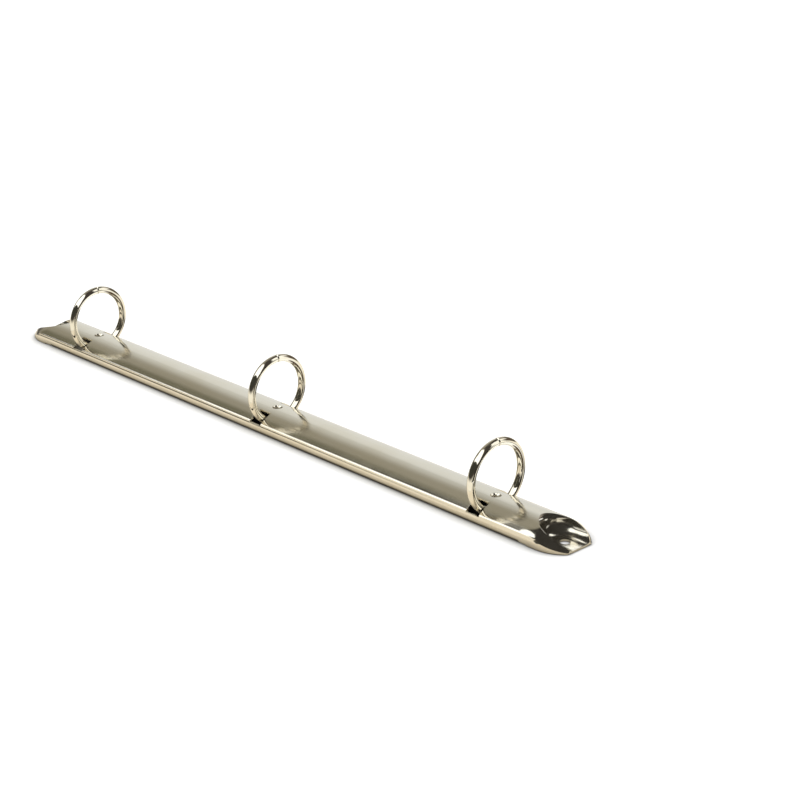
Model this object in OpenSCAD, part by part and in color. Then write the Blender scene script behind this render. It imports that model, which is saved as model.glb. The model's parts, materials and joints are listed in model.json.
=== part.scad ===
// Three-ring binder mechanism: a sprung sheet-steel housing, two hinge plates that rock in its
// rolled lips, and three rings, each of two wire halves staked into the plates.
// X runs along the housing, Y across it, +Z up; the lips and the end dishes rest on z = 0.

/* [Rings] */
// Distance between the planes of neighbouring rings
ring_pitch = 108; // [80:1:115]
// Inside diameter of a closed ring
ring_bore = 20.8; // [18.4:0.2:26]
// Thickness of the ring wire
wire_d = 2.8; // [2.4:0.1:3]
// Height of the ring centres above the crown of the housing
ring_lift = 6.8; // [6:0.1:7.2]
// Slit between the closed tips of a ring
tip_gap = 0.12; // [0.05:0.01:0.3]
// Chamfer around each tip
tip_chamfer = 0.3; // [0.1:0.05:0.5]
// Diameter of the locating peg on each front tip
peg_d = 1.1; // [0.8:0.05:1.3]
// Length of the locating peg
peg_len = 0.8; // [0.5:0.1:1.2]
// Clearance between the peg and its socket
peg_clear = 0.15; // [0.1:0.05:0.25]

/* [Ring feet] */
// Radius of the bend that turns the wire down onto its hinge plate
foot_bend_r = 1.8; // [1.6:0.1:2.2]
// Straight length of wire below that bend
foot_straight = 0.45; // [0.3:0.05:0.8]
// How much thicker the wire is in the bend, where bending bulges it
bend_bulge = 0.04; // [0.02:0.01:0.1]
// Diameter of the neck staked through the plate
neck_d = 1.8; // [1.4:0.1:2]
// Clearance around the neck in its hole
neck_clear = 0.05; // [0.02:0.01:0.1]
// Diameter of the staked head under the plate
head_d = 2.6; // [2.3:0.1:2.9]
// Thickness of the staked head
head_t = 0.3; // [0.2:0.05:0.35]

/* [Housing] */
// Overall length
housing_len = 288.4; // [280:0.2:300]
// Overall width
housing_w = 20.4; // [20:0.1:22]
// Overall height at the crown
housing_h = 7.2; // [7:0.1:8]
// Outside radius of the arched crown
crown_r = 15; // [14:0.5:18]
// Outside radius of the shoulder between the crown and each side wall
shoulder_r = 2.1; // [1.5:0.1:2.1]
// Outside radius of the bend at the foot of each side wall
lip_bend_r = 1.4; // [1.3:0.05:1.5]
// Flat width of the lip turned in under each side wall
lip_reach = 1.4; // [1:0.1:1.8]
// Thickness of the sheet
sheet_t = 0.75; // [0.6:0.05:0.8]
// Distance from each end at which the lips stop
lip_stop = 16.8; // [16:0.2:18]
// Length of the relief notch beyond each lip end
relief_len = 3.4; // [2.6:0.1:4]
// Height of that notch above the base
relief_h = 0.55; // [0.4:0.05:0.8]

/* [Windows and dimples] */
// Gap between the wire and the left edge of its window
window_left = 2.6; // [0.4:0.1:3]
// Gap between the wire and the right edge of its window
window_right = 0.35; // [0.3:0.05:2]
// Reach of a window from the wire towards the crown
window_in = 3.2; // [2.6:0.1:3.6]
// Height of the window sill in the side wall
window_sill = 3.1; // [2.8:0.1:3.2]
// Diameter of the dimple pressed into the crown under each ring
dimple_d = 3.8; // [3.2:0.1:4.2]
// Depth of the dimple
dimple_depth = 1; // [0.6:0.05:1.2]

/* [Dished ends] */
// Distance from each end to the centre of its dish
dish_in = 7.2; // [6.6:0.1:8]
// Radius of the flat floor of the dish
dish_floor_r = 2.8; // [2.4:0.1:3]
// Radius of the bend between the floor and the wall of the dish
dish_bend_r = 4.2; // [3.8:0.1:4.4]
// Radius of the rolled brim of the dish
dish_brim_r = 2.2; // [1.8:0.1:2.4]
// Width of the straight edge across each end
end_w = 11.2; // [10:0.2:12]
// Plan radius that draws the side walls in to that edge
end_plan_r = 13; // [12.6:0.2:16]
// Length of each end over which the arch bends down
end_fall_len = 11.2; // [10.8:0.2:12.4]
// Radius of the sloping flank above the side edge of each end
flank_r = 12; // [10:0.5:14]
// Slope of that flank at its foot, from level
flank_slope = 55; // [50:1:60]
// Height of its foot where the sides start to draw in
flank_z = 3.1; // [3:0.1:3.4]
// Dip of its foot towards the end, in degrees
flank_dip = 14; // [13:0.5:16]
// Height of the arch where it meets the end edge
end_lip_h = 1; // [0.9:0.05:1.2]
// Height of the trimmed edges of the end walls above the base
end_trim = 0.25; // [0.1:0.05:0.4]
// Diameter of the rivet hole in each dish
rivet_d = 3.6; // [3:0.1:4]
// Distance from each end to its rivet hole
rivet_in = 6.2; // [5.6:0.1:6.8]

/* [Hinge plates] */
// Thickness of a plate
plate_t = 0.9; // [0.7:0.05:1]
// Slit between the two plates when they lie level
plate_gap = 0.5; // [0.35:0.05:0.8]
// Droop of each plate towards the middle when the rings are closed
plate_tilt = 3; // [1.5:0.1:4]
// Clearance from the plate ends to the dishes
plate_end_clear = 3; // [2:0.5:6]

/* [Hidden] */
$fn = 96;

over = 1;                             // how far a cutter runs past what it cuts
half_w = housing_w / 2;
end_x = housing_len / 2;
crown_z = housing_h - crown_r;        // axis of the crown arc

// Shoulder arc: tangent to the side wall and inside the crown arc
shoulder_y = half_w - shoulder_r;
shoulder_z = crown_z + sqrt(pow(crown_r - shoulder_r, 2) - pow(shoulder_y, 2));

// Hinge axes, in the middle of the lip bends
pivot_y = half_w - lip_bend_r;
pivot_z = lip_bend_r;
lip_x = end_x - lip_stop;
slot_y = pivot_y - lip_reach;         // inner edge of each lip

// Rings
ring_r = (ring_bore + wire_d) / 2;
ring_z = housing_h + ring_lift;
tip_z = ring_z + ring_r;

// Angle from the tip at which the wire leaves the ring and bends down, square to its plate
bend_r = ring_r + foot_bend_r;
join = bend_bulge * 2;                // how far the wire runs on inside the bend
join_a = join / ring_r * 180 / PI;
foot_fall = foot_straight + plate_t / 2 - pivot_y * sin(plate_tilt)
            - (ring_z - pivot_z) * cos(plate_tilt);
leave_a = acos(foot_fall / bend_r) - plate_tilt;
// Distance of the foot from its hinge axis, measured along the plate
foot_x = foot_bend_r + (pivot_y - bend_r * sin(leave_a)) * cos(plate_tilt)
         - (ring_z - pivot_z + bend_r * cos(leave_a)) * sin(plate_tilt);

// Where the ring crosses the crown arc
cross_d = ring_z - crown_z;
cross_a = (pow(crown_r, 2) - pow(ring_r, 2) + pow(cross_d, 2)) / (2 * cross_d);
cross_y = sqrt(pow(crown_r, 2) - pow(cross_a, 2));

// Dishes
dish_x = end_x - dish_in;
dish_r = dish_floor_r + dish_bend_r;
dish_bend_z = sheet_t + dish_bend_r;
brim_z = housing_h - dish_brim_r;
brim_r = dish_r + dish_brim_r;

// Ends: plan arcs, and the centre of the arc along which the arch bends down
plan_y = half_w - end_plan_r;
plan_x = end_x - sqrt(pow(end_plan_r, 2) - pow(end_w / 2 - plan_y, 2));
fall_x = end_x - end_fall_len;
fall_top = crown_z + sqrt(pow(crown_r, 2) - pow(end_w / 2, 2));
fall_z = fall_top - (pow(end_fall_len, 2) / (fall_top - end_lip_h) + fall_top - end_lip_h) / 2;

// Hinge plates
plate_half_len = dish_x - brim_r - plate_end_clear;
plate_reach = pivot_y - plate_gap / 2;

// Draws a shape given in the plane across the housing (Y, Z) at its true place
module across() rotate([90, 0, 90]) children();

// Extrudes a section of the housing along X between two places
module along(x0, x1) across() translate([0, 0, x0]) linear_extrude(x1 - x0) children();

// Repeats a thing at the other end, or on the other side
module both_ends() for (m = [0, 1]) mirror([m, 0, 0]) children();
module both_sides() for (m = [0, 1]) mirror([0, m, 0]) children();

// ---- Housing ----

module for_both_shoulders()
    for (s = [1, -1]) translate([s * shoulder_y, shoulder_z]) children();

// Crown, shoulders and side walls in section, drawn in by inset and running down to z = foot
module wall_section(inset, foot) {
    fan_y = 2 * shoulder_y;
    fan_z = 2 * shoulder_z - crown_z;
    intersection() {
        translate([0, crown_z]) circle(crown_r - inset, $fn = 180);
        polygon([[-shoulder_y, shoulder_z], [shoulder_y, shoulder_z], [fan_y, fan_z], [-fan_y, fan_z]]);
    }
    for_both_shoulders() circle(shoulder_r - inset);
    translate([inset - half_w, foot]) square([2 * (half_w - inset), shoulder_z - foot]);
}

// The same section closed below by the bends of the rolled lips
module lipped_section(inset) {
    wall_section(inset, lip_bend_r);
    for (s = [1, -1]) translate([s * pivot_y, pivot_z]) circle(lip_bend_r - inset);
    translate([-pivot_y, inset]) square([2 * pivot_y, lip_bend_r - inset]);
}

// Plan of the housing: straight sides that curve in to the end edges
module plan(inset) {
    square([2 * plan_x, 2 * (half_w - inset)], center = true);
    for (e = [1, -1]) intersection() {
        for_both_arcs(e, inset);
        translate([e > 0 ? plan_x : inset - end_x, -half_w])
            square([end_x - inset - plan_x, housing_w]);
    }
}

module for_both_arcs(e, inset) intersection() {
    translate([e * plan_x, plan_y]) circle(end_plan_r - inset, $fn = 180);
    translate([e * plan_x, -plan_y]) circle(end_plan_r - inset, $fn = 180);
}

// What the sloping flank on the front side takes off an end
module flank_cutter(inset) translate([plan_x, -plan_y, flank_z]) rotate([0, flank_dip, 0])
    rotate([0, 0, -90]) rotate_extrude(angle = 90)
        translate([end_plan_r - flank_r * sin(flank_slope), 0]) difference() {
            square([flank_r, housing_h]);
            translate([0, -flank_r * cos(flank_slope)]) circle(flank_r - inset, $fn = 180);
        }

// One unlipped end as a solid block: the arch runs straight, then bends down along an arc
module nose(inset, foot) difference() {
    intersection() {
        union() {
            along(lip_x, fall_x) wall_section(inset, -over);
            translate([fall_x, 0, fall_z]) rotate([90, 0, 0]) rotate_extrude(angle = 90)
                translate([-fall_z, 0]) rotate(-90) wall_section(inset, -over);
        }
        translate([0, 0, foot]) linear_extrude(housing_h + 2 * over) plan(inset);
    }
    both_sides() flank_cutter(inset);
}

// Half section of a dish: its hollow, or with skin the hollow and the metal around it
module dish_section(skin) {
    floor_z = sheet_t - skin;
    top = housing_h + over;
    translate([0, floor_z]) square([dish_floor_r, top - floor_z]);
    intersection() {
        translate([dish_floor_r, dish_bend_z]) circle(dish_bend_r + skin);
        translate([dish_floor_r, floor_z]) square([dish_r, dish_bend_z - floor_z]);
    }
    translate([0, dish_bend_z]) square([dish_r + skin, top - dish_bend_z]);
    difference() {
        translate([dish_r, brim_z]) square([dish_brim_r, top - brim_z]);
        translate([brim_r, brim_z]) circle(dish_brim_r - skin);
    }
}

// A dish: half a turned bowl that runs out as a trough to the end edge
module dish(skin) {
    translate([dish_x, 0, 0]) rotate([0, 0, 90]) rotate_extrude(angle = 180) dish_section(skin);
    along(dish_x, end_x + over) both_halves() dish_section(skin);
}

module both_halves() for (m = [0, 1]) mirror([m, 0]) children();

// Cap of a sphere that a dimple of this depth and width leaves in the crown
module dimple_ball(skin) {
    ball_r = (pow(dimple_d / 2, 2) + pow(dimple_depth, 2)) / (2 * dimple_depth);
    translate([0, 0, housing_h - dimple_depth + ball_r]) sphere(ball_r + skin);
}

module at_rings() for (i = [-1, 0, 1]) translate([i * ring_pitch, 0, 0]) children();

// One window, through the crown, the shoulder and the top of the side wall
module window() {
    left = wire_d / 2 + window_left;
    right = wire_d / 2 + window_right;
    translate([-left, cross_y - window_in, window_sill])
        cube([left + right, half_w + over - (cross_y - window_in), housing_h]);
}

module housing() {
    color("silver") difference() {
        union() {
            difference() {
                union() {
                    along(-lip_x, lip_x) lipped_section(0);
                    both_ends() nose(0, 0);
                }
                difference() {
                    union() {
                        along(-lip_x, lip_x) lipped_section(sheet_t);
                        both_ends() nose(sheet_t, -over);
                        translate([-lip_x, -slot_y, -over])
                            cube([2 * lip_x, 2 * slot_y, 2 * over + sheet_t]);
                    }
                    both_ends() dish(sheet_t);
                }
            }
            at_rings() intersection() {
                dimple_ball(sheet_t);
                translate([-dimple_d, -dimple_d, 0])
                    cube([2 * dimple_d, 2 * dimple_d, housing_h - sheet_t / 2]);
            }
        }
        both_ends() dish(0);
        at_rings() dimple_ball(0);
        at_rings() both_sides() window();
        both_ends() both_sides() translate([lip_x, half_w - 2 * sheet_t, -over])
            cube([relief_len, 2 * sheet_t + over, relief_h + over]);
        both_ends() difference() {
            translate([lip_x + relief_len / 2, -half_w - over, -over])
                cube([lip_stop, housing_w + 2 * over, end_trim + over]);
            dish(sheet_t);
        }
        both_ends() translate([end_x - rivet_in, 0, -over])
            cylinder(h = dish_bend_z + over, d = rivet_d);
    }
}

// ---- Hinge plates ----

// Front plate in section: a rounded edge in the lip and a flat blade drooping to the middle
module plate_section() {
    translate([-pivot_y, pivot_z]) rotate(-plate_tilt) {
        circle(d = plate_t);
        translate([0, -plate_t / 2]) square([plate_reach, plate_t]);
    }
}

// Puts a thing drawn along +Z at a foot: z = 0 is the middle of the plate
module at_foot() translate([0, -pivot_y, pivot_z]) rotate([-plate_tilt, 0, 0])
    translate([0, foot_x, 0]) children();

module hinge_plate() {
    color("gainsboro") difference() {
        along(-plate_half_len, plate_half_len) plate_section();
        at_rings() at_foot()
            cylinder(h = plate_t + 2 * over, d = neck_d + 2 * neck_clear, center = true);
    }
}

// ---- Rings ----

// Wire bent round an arc of radius r in the plane across the housing
module wire_arc(r, d, from, to)
    across() rotate([0, 0, from]) rotate_extrude(angle = to - from) translate([r, 0])
        circle(d = d);

// Turns a chamfer on the tip, which points along +Y
module tip_bevel() {
    r = wire_d / 2;
    translate([0, -tip_gap / 2, tip_z]) rotate([90, 0, 0]) rotate_extrude()
        polygon([[r - tip_chamfer - over, -over], [r + over, -over], [r + over, tip_chamfer + over]]);
}

// Front half of a ring without its tip detail. Its arc and its foot end just inside the bend.
module half_ring() {
    difference() {
        translate([0, 0, ring_z]) wire_arc(ring_r, wire_d, 90, 90 + leave_a + join_a);
        translate([-wire_d, -tip_gap / 2, tip_z - wire_d]) cube(2 * wire_d);
        tip_bevel();
    }
    translate([0, -bend_r * sin(leave_a), ring_z + bend_r * cos(leave_a)])
        wire_arc(foot_bend_r, wire_d + bend_bulge, -plate_tilt, leave_a - 90);
    at_foot() {
        translate([0, 0, plate_t / 2]) cylinder(h = foot_straight + join, d = wire_d);
        translate([0, 0, -plate_t / 2 - head_t])
            cylinder(h = head_t + plate_t + foot_straight, d = neck_d);
        translate([0, 0, -plate_t / 2 - head_t])
            cylinder(h = head_t, d1 = head_d - head_t, d2 = head_d);
    }
}

module peg(d, length) translate([0, -tip_gap / 2, tip_z]) rotate([-90, 0, 0])
    translate([0, 0, -over]) cylinder(h = length + over, d = d);

module ring_front() color("silver") {
    half_ring();
    peg(peg_d, peg_len);
}

module ring_back() color("silver") difference() {
    mirror([0, 1, 0]) half_ring();
    peg(peg_d + 2 * peg_clear, peg_len + peg_clear);
}

module ring_place(i) translate([(i - 2) * ring_pitch, 0, 0]) children();

housing();
hinge_plate();  // hinge_plate_front
mirror([0, 1, 0]) hinge_plate();  // hinge_plate_back
ring_place(1) ring_front();  // ring_1_front
ring_place(1) ring_back();  // ring_1_back
ring_place(2) ring_front();  // ring_2_front
ring_place(2) ring_back();  // ring_2_back
ring_place(3) ring_front();  // ring_3_front
ring_place(3) ring_back();  // ring_3_back
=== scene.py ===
# The looks of a three-ring binder mechanism: camera, studio and plated-steel finishes.
# Every shape comes from the CAD part; this script only dresses and lights it. Units are metres.
import json
import math

import bpy
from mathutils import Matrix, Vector

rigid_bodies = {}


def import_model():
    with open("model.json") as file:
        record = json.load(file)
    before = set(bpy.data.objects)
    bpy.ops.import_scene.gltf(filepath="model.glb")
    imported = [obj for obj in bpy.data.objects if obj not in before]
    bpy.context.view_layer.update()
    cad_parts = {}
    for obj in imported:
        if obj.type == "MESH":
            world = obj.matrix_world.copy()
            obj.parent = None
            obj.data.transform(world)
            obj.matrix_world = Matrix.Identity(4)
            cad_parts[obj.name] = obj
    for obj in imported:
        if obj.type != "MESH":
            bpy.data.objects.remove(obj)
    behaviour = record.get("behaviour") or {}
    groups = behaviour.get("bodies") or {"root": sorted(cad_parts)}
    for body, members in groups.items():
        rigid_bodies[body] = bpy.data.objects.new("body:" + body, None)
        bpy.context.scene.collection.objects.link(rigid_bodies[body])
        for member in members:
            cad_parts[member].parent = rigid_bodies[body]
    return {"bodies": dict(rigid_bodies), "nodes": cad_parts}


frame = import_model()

NODES = frame["nodes"]
MM = 0.001


# ---------------------------------------------------------------- only the CAD part, before anything else

def clear_startup_objects():
    """Removes what Blender's startup file brings, so that only the frame is in the scene."""
    kept = set(NODES.values()) | set(frame["bodies"].values())
    for thing in list(bpy.data.objects):
        if thing not in kept:
            bpy.data.objects.remove(thing)


clear_startup_objects()
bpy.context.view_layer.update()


# ---------------------------------------------------------------- camera

# Found by fitting the part's edges to the photograph: place, yaw, tilt down and focal length.
CAMERA_PLACE = (0.5078, -0.4319, 0.2710)
CAMERA_YAW = 45.82
CAMERA_TILT = 21.43
PICTURE_SIDE = 800
FOCAL_PIXELS = 1984.5
SENSOR = 36.0


def make_camera():
    """The photograph's viewpoint, as a square picture."""
    data = bpy.data.cameras.new("photo_camera")
    data.sensor_width = SENSOR
    data.lens = SENSOR * FOCAL_PIXELS / PICTURE_SIDE
    data.clip_start = 0.02
    data.clip_end = 20.0
    camera = bpy.data.objects.new("photo_camera", data)
    bpy.context.scene.collection.objects.link(camera)
    camera.location = CAMERA_PLACE
    camera.rotation_euler = (math.radians(90 - CAMERA_TILT), 0, math.radians(CAMERA_YAW))
    bpy.context.scene.camera = camera


make_camera()


# ---------------------------------------------------------------- node helpers

def add(tree, kind, inputs=None, **settings):
    """A new node of that kind. Inputs are values, or sockets to link from."""
    node = tree.nodes.new(kind)
    for name, value in settings.items():
        setattr(node, name, value)
    for name, value in (inputs or {}).items():
        socket = node.inputs[name]
        if isinstance(value, bpy.types.NodeSocket):
            tree.links.new(value, socket)
        else:
            socket.default_value = value
    return node


def math_node(tree, operation, first, second=0.0):
    """The result of one sum on two sockets or numbers."""
    node = add(tree, "ShaderNodeMath", {0: first, 1: second}, operation=operation)
    return node.outputs[0]


def spread(tree, value, low, high, to_low=0.0, to_high=1.0):
    """The value carried smoothly from the range low..high to to_low..to_high."""
    node = add(tree, "ShaderNodeMapRange", {
        "Value": value,
        "From Min": low,
        "From Max": high,
        "To Min": to_low,
        "To Max": to_high,
    }, interpolation_type="SMOOTHSTEP")
    return node.outputs["Result"]


# The places of a colour Mix node's sockets, whose names it uses more than once.
MIX_SHARE = 0
MIX_FIRST = 6
MIX_SECOND = 7
MIX_RESULT = 2


def mixed(tree, share, first, second):
    """Two colours mixed by share, from 0, all first, to 1, all second."""
    inputs = {MIX_SHARE: share, MIX_FIRST: first, MIX_SECOND: second}
    node = add(tree, "ShaderNodeMix", inputs, data_type="RGBA")
    return node.outputs[MIX_RESULT]


def fresh_tree(owner):
    """The owner's node tree, emptied."""
    owner.use_nodes = True
    owner.node_tree.nodes.clear()
    return owner.node_tree


# ---------------------------------------------------------------- studio

WHITE = (1.0, 1.0, 1.0, 1.0)
BLACK = (0.025, 0.022, 0.018, 1.0)
# The room and its floor, as the metal mirrors them.
ROOM = (0.06, 0.052, 0.045, 1.0)
ZENITH = (0.14, 0.13, 0.115, 1.0)
FRONT_DARK = (0.045, 0.045, 0.036, 1.0)
HAZE_GREY = (0.34, 0.315, 0.250, 1.0)
OLIVE = (0.17, 0.16, 0.11, 1.0)
TAN = (0.36, 0.32, 0.28, 1.0)
UMBER = (0.12, 0.095, 0.07, 1.0)
FLOOR_CREAM = (1.08, 1.03, 0.90, 1.0)
FLOOR_WHITE = (1.25, 1.25, 1.22, 1.0)
FLOOR_BROWN = (0.10, 0.068, 0.042, 1.0)
# The pale sweep and the lamps.
SWEEP = (1.25, 1.24, 1.18, 1.0)
BACK_SWEEP = (0.83, 0.83, 0.80, 1.0)
SOFTBOX = (1.6, 1.6, 1.57, 1.0)
# FILL is the pale strip's colour, a painted reflection on the side wall.
FILL = (0.96, 0.87, 0.71, 1.0)
EVEN_STRENGTH = 1.05
# The paper under the object, to the camera and close by in the metal.
FLOOR_SEEN = (1.16, 1.16, 1.15, 1.0)
FLOOR_MIRRORED = (0.96, 0.87, 0.71, 1.0)


def toward(azimuth, elevation):
    """The direction at that azimuth from +X towards +Y and that height, in degrees."""
    a, e = math.radians(azimuth), math.radians(elevation)
    return Vector((math.cos(a) * math.cos(e), math.sin(a) * math.cos(e), math.sin(e)))


def dot(tree, vector, fixed):
    """The dot product of a vector socket and a fixed direction."""
    node = add(tree, "ShaderNodeVectorMath", {0: vector, 1: fixed}, operation="DOT_PRODUCT")
    return node.outputs["Value"]


def band(tree, value, ends, soft):
    """1 between the two ends and 0 outside them, with a soft step at each."""
    rise = spread(tree, value, ends[0] - soft, ends[0] + soft)
    fall = spread(tree, value, ends[1] - soft, ends[1] + soft, 1.0, 0.0)
    return math_node(tree, "MULTIPLY", rise, fall)


def card(tree, ray, under, facing, across, upward, soft, light, slant=0.0):
    """A flat screen far off, facing the object from that azimuth and height, over what is behind.

    across and upward are its edges, in lengths per length of distance; soft blurs them, and
    slant tips the upward edges.
    """
    ahead = toward(*facing)
    right = toward(facing[0] - 90, 0)
    top = right.cross(ahead) - right * slant
    depth = dot(tree, ray, ahead)
    safe = math_node(tree, "MAXIMUM", depth, 0.001)
    x = math_node(tree, "DIVIDE", dot(tree, ray, right), safe)
    y = math_node(tree, "DIVIDE", dot(tree, ray, top), safe)
    inside = math_node(tree, "MULTIPLY", band(tree, x, across, soft), band(tree, y, upward, soft))
    seen = math_node(tree, "MULTIPLY", inside, spread(tree, depth, 0.0, 0.02))
    return mixed(tree, seen, under, light)


# Each card's facing, across, upward, soft and light, and slant where it has one.
STUDIO_CARDS = (
    # The floor away from the camera is the brightest, and dark to the right of the object.
    ((95, -55), (-1.3, 1.3), (-0.7, 0.45), 0.20, FLOOR_WHITE),
    ((15, -42), (-0.30, 0.30), (-0.45, 0.40), 0.06, FLOOR_BROWN),
    ((92, -28), (-0.75, 0.90), (-0.07, 0.07), 0.03, BLACK),
    # The pale sweep behind the object fades upwards and to the left into the room.
    ((180, 45), (-0.7, 0.7), (-0.55, 0.5), 0.30, HAZE_GREY),
    ((135, 15), (-0.40, 0.35), (-0.65, 0.46), 0.30, BACK_SWEEP),
    ((90, 10), (-0.55, 0.75), (0.30, 0.65), 0.08, TAN),
    ((90, 10), (-0.50, 0.75), (-0.10, 0.32), 0.06, UMBER),
    ((90, -8), (-0.70, 0.80), (-0.15, 0.15), 0.05, FLOOR_CREAM),
    ((40, 10), (-0.20, 0.20), (-0.45, 0.95), 0.05, SWEEP),
    ((60, 38), (-0.33, 0.34), (-0.25, 0.16), 0.05, SWEEP),
    # The camera's side and the right end look into the dark of the room.
    ((-90, 0), (-2.6, 2.2), (0.12, 1.6), 0.14, FRONT_DARK, -0.17),
    ((12, 0), (-0.45, 0.55), (-0.34, 0.12), 0.06, BLACK),
    ((12, 20), (-0.22, 0.16), (-0.60, 4.0), 0.05, ROOM),
    # The long softbox hangs over the camera's side of the object, in line with it. Past its left
    # end come a dim patch, then a slanting black line with a second softbox beside it.
    ((90, 90), (-0.74, 3.6), (0.14, 1.0), 0.03, SOFTBOX),
    ((90, 90), (-2.2, -0.72), (0.06, 0.44), 0.14, OLIVE),
    ((90, 90), (-2.2, -0.74), (-0.225, -0.10), 0.025, BLACK, -0.5),
    ((90, 90), (-1.50, -0.7), (-0.09, 0.60), 0.02, SOFTBOX, -0.5),
)


def studio_light(tree):
    """What the metal mirrors: a pale floor, a dim room, and the cards, later over earlier."""
    ray = add(tree, "ShaderNodeTexCoord").outputs["Generated"]
    height = dot(tree, ray, (0, 0, 1))
    look = mixed(tree, spread(tree, height, 0.85, 1.0), ROOM, ZENITH)
    look = mixed(tree, spread(tree, height, -0.22, 0.05), FLOOR_CREAM, look)
    for settings in STUDIO_CARDS:
        look = card(tree, ray, look, *settings)
    return look


def make_world():
    """White behind the object, the studio in its metal, and even light on what is matt."""
    world = bpy.data.worlds.new("studio")
    bpy.context.scene.world = world
    tree = fresh_tree(world)
    rays = add(tree, "ShaderNodeLightPath").outputs
    even = add(tree, "ShaderNodeBackground", {"Color": WHITE, "Strength": EVEN_STRENGTH})
    mirrored = add(tree, "ShaderNodeBackground", {"Color": studio_light(tree), "Strength": 1.0})
    backdrop = add(tree, "ShaderNodeBackground", {"Color": WHITE, "Strength": 1.0})
    bent = math_node(tree, "MAXIMUM", rays["Is Glossy Ray"], rays["Is Transmission Ray"])
    lit = add(tree, "ShaderNodeMixShader", {0: bent, 1: even.outputs[0], 2: mirrored.outputs[0]})
    whole = add(tree, "ShaderNodeMixShader", {
        0: rays["Is Camera Ray"],
        1: lit.outputs[0],
        2: backdrop.outputs[0],
    })
    add(tree, "ShaderNodeOutputWorld", {"Surface": whole.outputs[0]})


FLOOR_HALF = 3.0
FLOOR_DROP = 0.03 * MM
# How far the painted contact shade reaches, and between which distances the metal stops mirroring
# it.
PAINTED_SHADE_REACH = 5 * MM
MIRROR_FULL = 5 * MM
MIRROR_NONE = 30 * MM


def floor_finish():
    """White paper that keeps the object's real shadow, with painted contact shade darkening its
    colour near the object.

    The camera sees it as bright as the background around it. The metal mirrors it only close
    by, with the shadow and a deeper painted shade under the object; further off it mirrors the
    studio's own floor.
    """
    material = bpy.data.materials.new("white_paper")
    tree = fresh_tree(material)
    place = add(tree, "ShaderNodeTexCoord").outputs["Object"]
    grain = add(tree, "ShaderNodeTexNoise", {"Vector": place, "Scale": 900.0, "Detail": 3.0})
    bump = add(tree, "ShaderNodeBump", {
        "Height": grain.outputs[0],
        "Strength": 0.05,
        "Distance": 0.05 * MM,
    })
    rays = add(tree, "ShaderNodeLightPath").outputs
    # Painted shade: ambient occlusion darkens the paper's colour towards black near the object,
    # more so in the metal's reflection.
    shade = add(tree, "ShaderNodeAmbientOcclusion", {"Distance": PAINTED_SHADE_REACH}, samples=8)
    painted_shade_ao = shade.outputs["AO"]
    mirrored = mixed(tree, math_node(tree, "POWER", painted_shade_ao, 2.0), BLACK, FLOOR_MIRRORED)
    seen = mixed(tree, painted_shade_ao, BLACK, FLOOR_SEEN)
    paper = add(tree, "ShaderNodeBsdfDiffuse", {
        "Color": mixed(tree, rays["Is Camera Ray"], mirrored, seen),
        "Roughness": 0.5,
        "Normal": bump.outputs[0],
    })
    clear = add(tree, "ShaderNodeBsdfTransparent")
    far = spread(tree, rays["Ray Length"], MIRROR_FULL, MIRROR_NONE)
    seen_through = math_node(tree, "MULTIPLY", rays["Is Glossy Ray"], far)
    whole = add(tree, "ShaderNodeMixShader", {
        0: seen_through,
        1: paper.outputs[0],
        2: clear.outputs[0],
    })
    add(tree, "ShaderNodeOutputMaterial", {"Surface": whole.outputs[0]})
    return material


def flat_sheet(name, corners, material):
    """One flat face of the stage, through those corners in metres."""
    mesh = bpy.data.meshes.new(name)
    mesh.from_pydata(corners, [], [tuple(range(len(corners)))])
    mesh.materials.append(material)
    sheet = bpy.data.objects.new(name, mesh)
    bpy.context.scene.collection.objects.link(sheet)
    return sheet


def make_floor():
    """A wide sheet of paper just under the part."""
    half, z = FLOOR_HALF, -FLOOR_DROP
    corners = [(-half, -half, z), (half, -half, z), (half, half, z), (-half, half, z)]
    flat_sheet("paper_floor", corners, floor_finish())


def near_card(name, corners, light):
    """A small flat card through those corners in millimetres, which only the metal mirrors: it
    glows but lights nothing, a painted reflection.
    """
    material = bpy.data.materials.new(name)
    tree = fresh_tree(material)
    glow = add(tree, "ShaderNodeEmission", {"Color": light, "Strength": 1.0})
    add(tree, "ShaderNodeOutputMaterial", {"Surface": glow.outputs[0]})
    sheet = flat_sheet(name, [[MM * value for value in corner] for corner in corners], material)
    sheet.visible_camera = False
    sheet.visible_diffuse = False
    sheet.visible_shadow = False


# Millimetres. These cards are painted reflections: only the metal mirrors them and they light
# nothing. A pale strip along the front paints a pale reflection on the side wall, with a thin
# painted dark line on it.
# # A black flag over the right end, with bright ovals under it, paints the dish and the flank dark,
# with painted highlights.
STRIP_START = -200.0
STRIP_END = 129.0
STRIP_Y = -17.0
STRIP_FOOT = 0.5
STRIP_TOP = 9.5
DARK_LINE_Y = STRIP_Y + 0.2
DARK_LINE_FOOT = 3.0
DARK_LINE_TOP = 5.6
DARK_LINE_NARROWS = -30.0
DARK_LINE_END = (100.0, 3.5)
FLAG_Z = 12.0
FLAG_LEFT = 129.3
FLAG_RIGHT = 175.0
FLAG_FRONT = -26.0
FLAG_BACK = 30.0
OVAL_Z = FLAG_Z - 0.2
OVAL_CORNERS = 32


def oval(x, y, half_x, half_y):
    """The corners of a level oval just under the flag."""
    corners = []
    for step in range(OVAL_CORNERS):
        turn = 2 * math.pi * step / OVAL_CORNERS
        corners.append((x + half_x * math.cos(turn), y + half_y * math.sin(turn), OVAL_Z))
    return corners


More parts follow.
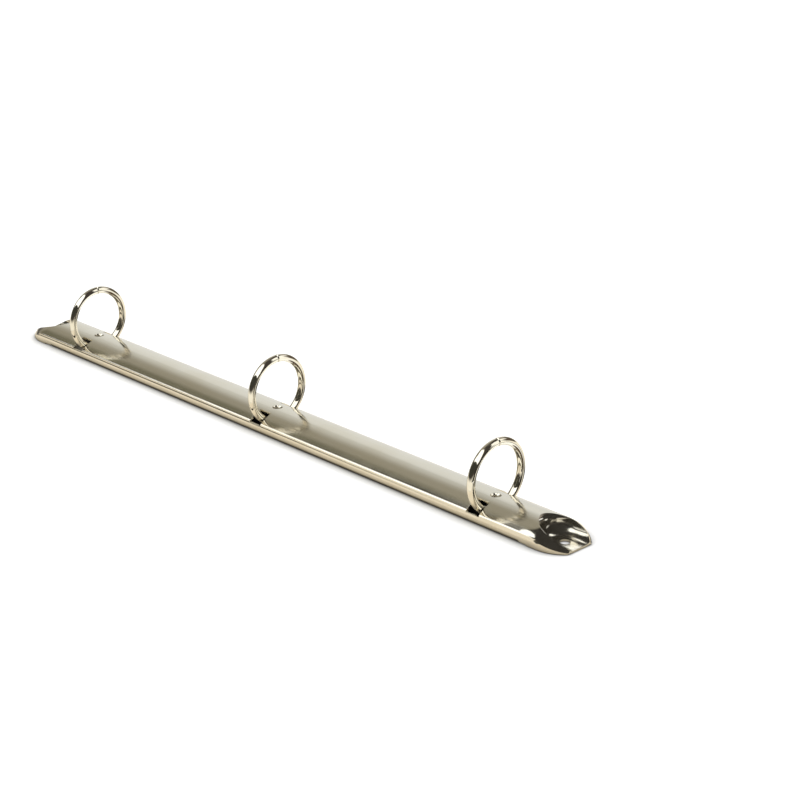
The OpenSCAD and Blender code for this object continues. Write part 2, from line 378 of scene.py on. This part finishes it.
def make_near_cards():
    """The painted reflections: the pale strip in front of the side wall, and the black flag with
    its bright ovals.
    """
    near_card("fill_strip", [
        (STRIP_START, STRIP_Y, STRIP_FOOT),
        (STRIP_END, STRIP_Y, STRIP_FOOT),
        (STRIP_END, STRIP_Y, STRIP_TOP),
        (STRIP_START, STRIP_Y, STRIP_TOP),
    ], FILL)
    # Painted dark reflection: a black card over the right end, seen only in the metal, that darkens
    # the dish and the flank.
    # The flag's left edge steps outwards at the housing's front shoulder.
    near_card("end_flag", [
        (FLAG_LEFT - 6, FLAG_FRONT, FLAG_Z),
        (FLAG_RIGHT, FLAG_FRONT, FLAG_Z),
        (FLAG_RIGHT, FLAG_BACK, FLAG_Z),
        (FLAG_LEFT, FLAG_BACK, FLAG_Z),
        (FLAG_LEFT, -4, FLAG_Z),
        (FLAG_LEFT - 2.5, -7, FLAG_Z),
        (FLAG_LEFT - 6, -10, FLAG_Z),
    ], BLACK)
    # Painted highlights: bright ovals seen only in the reflections of the dish and the shoulder.
    near_card("near_oval", oval(131.7, -2.2, 2.6, 3.8), SOFTBOX)
    near_card("far_oval", oval(131.6, 10.8, 2.6, 2.2), SOFTBOX)
    near_card("tip_oval", oval(126.0, 16.8, 4.4, 2.8), SOFTBOX)
    near_card("shoulder_oval", oval(124.5, -12.4, 4.0, 2.9), SOFTBOX)
    # Painted dark line: a black card seen only in the side wall's reflection of the pale strip.
    near_card("painted_dark_line", [
        (STRIP_START, DARK_LINE_Y, DARK_LINE_FOOT),
        (DARK_LINE_NARROWS, DARK_LINE_Y, DARK_LINE_FOOT),
        (DARK_LINE_END[0], DARK_LINE_Y, DARK_LINE_END[1]),
        (DARK_LINE_NARROWS, DARK_LINE_Y, DARK_LINE_TOP),
        (STRIP_START, DARK_LINE_Y, DARK_LINE_TOP),
    ], BLACK)


make_world()
make_floor()
make_near_cards()


# ---------------------------------------------------------------- plated-steel finishes

def stretched(tree, place, scale):
    """Object coordinates scaled differently along each axis, in cycles per metre."""
    node = add(tree, "ShaderNodeVectorMath", {0: place, 1: scale}, operation="MULTIPLY")
    return node.outputs[0]


def noise(tree, place, scale, detail=2.0, roughness=0.5):
    """A noise value, 0 to 1, over those coordinates."""
    node = add(tree, "ShaderNodeTexNoise", {
        "Vector": place,
        "Scale": scale,
        "Detail": detail,
        "Roughness": roughness,
    })
    return node.outputs[0]


def bumped(tree, height, depth, strength, under=None):
    """A normal that carries a fine relief of that depth, over an earlier normal if given."""
    inputs = {"Height": height, "Strength": strength, "Distance": depth}
    if under is not None:
        inputs["Normal"] = under
    return add(tree, "ShaderNodeBump", inputs).outputs[0]


def plated(tree, tint, rough, normal):
    """The plated surface itself: bare metal of that tint and roughness."""
    surface = add(tree, "ShaderNodeBsdfPrincipled", {
        "Base Color": tint,
        "Metallic": 1.0,
        "Roughness": rough,
        "Normal": normal,
    })
    add(tree, "ShaderNodeOutputMaterial", {"Surface": surface.outputs[0]})


def sheet_nickel():
    """Bright nickel on pressed strip: streaks along the length, orange peel, haze, soft edges."""
    material = bpy.data.materials.new("sheet_nickel")
    tree = fresh_tree(material)
    place = add(tree, "ShaderNodeTexCoord").outputs["Object"]
    streak = noise(tree, stretched(tree, place, (10, 900, 900)), 1.0, 3.0, 0.6)
    haze = noise(tree, place, 60.0, 4.0, 0.55)
    peel = noise(tree, place, 700.0, 2.0)
    tint = mixed(tree, spread(tree, haze, 0.35, 0.75), (0.80, 0.77, 0.68, 1), (0.77, 0.73, 0.62, 1))
    rough = math_node(tree, "ADD", spread(tree, streak, 0.3, 0.8, 0.0, 0.04),
                      spread(tree, haze, 0.3, 0.8, 0.11, 0.16))
    soft_edges = add(tree, "ShaderNodeBevel", {"Radius": 0.12 * MM}, samples=6).outputs[0]
    rolled = bumped(tree, streak, 0.004 * MM, 0.35, soft_edges)
    normal = bumped(tree, peel, 0.003 * MM, 0.5, rolled)
    plated(tree, tint, rough, normal)
    return material


def wire_nickel():
    """Polished nickel on round wire: almost a mirror, with faint handling marks."""
    material = bpy.data.materials.new("wire_nickel")
    tree = fresh_tree(material)
    place = add(tree, "ShaderNodeTexCoord").outputs["Object"]
    haze = noise(tree, place, 150.0, 4.0, 0.55)
    peel = noise(tree, place, 900.0, 2.0)
    tint = mixed(tree, spread(tree, haze, 0.3, 0.8), (0.84, 0.80, 0.70, 1), (0.80, 0.75, 0.62, 1))
    rough = spread(tree, haze, 0.3, 0.8, 0.03, 0.09)
    normal = bumped(tree, peel, 0.003 * MM, 0.4)
    plated(tree, tint, rough, normal)
    return material


def strip_nickel():
    """Satin plating on the flat hinge strips, brushed along their length."""
    material = bpy.data.materials.new("strip_nickel")
    tree = fresh_tree(material)
    place = add(tree, "ShaderNodeTexCoord").outputs["Object"]
    brush = noise(tree, stretched(tree, place, (15, 1500, 1500)), 1.0, 3.0, 0.6)
    haze = noise(tree, place, 90.0, 4.0)
    tint = mixed(tree, spread(tree, haze, 0.3, 0.8), (0.62, 0.60, 0.55, 1), (0.54, 0.51, 0.45, 1))
    rough = spread(tree, brush, 0.3, 0.8, 0.22, 0.36)
    normal = bumped(tree, brush, 0.01 * MM, 0.4)
    plated(tree, tint, rough, normal)
    return material


def dress(names, material):
    """Gives those CAD nodes that finish."""
    for name in names:
        node = NODES[name]
        node.data.materials.clear()
        node.data.materials.append(material)


dress(["housing"], sheet_nickel())
dress([name for name in NODES if name.startswith("ring_")], wire_nickel())
dress([name for name in NODES if name.startswith("hinge_plate")], strip_nickel())


# ---------------------------------------------------------------- finish

bpy.context.scene.view_settings.view_transform = "Standard"
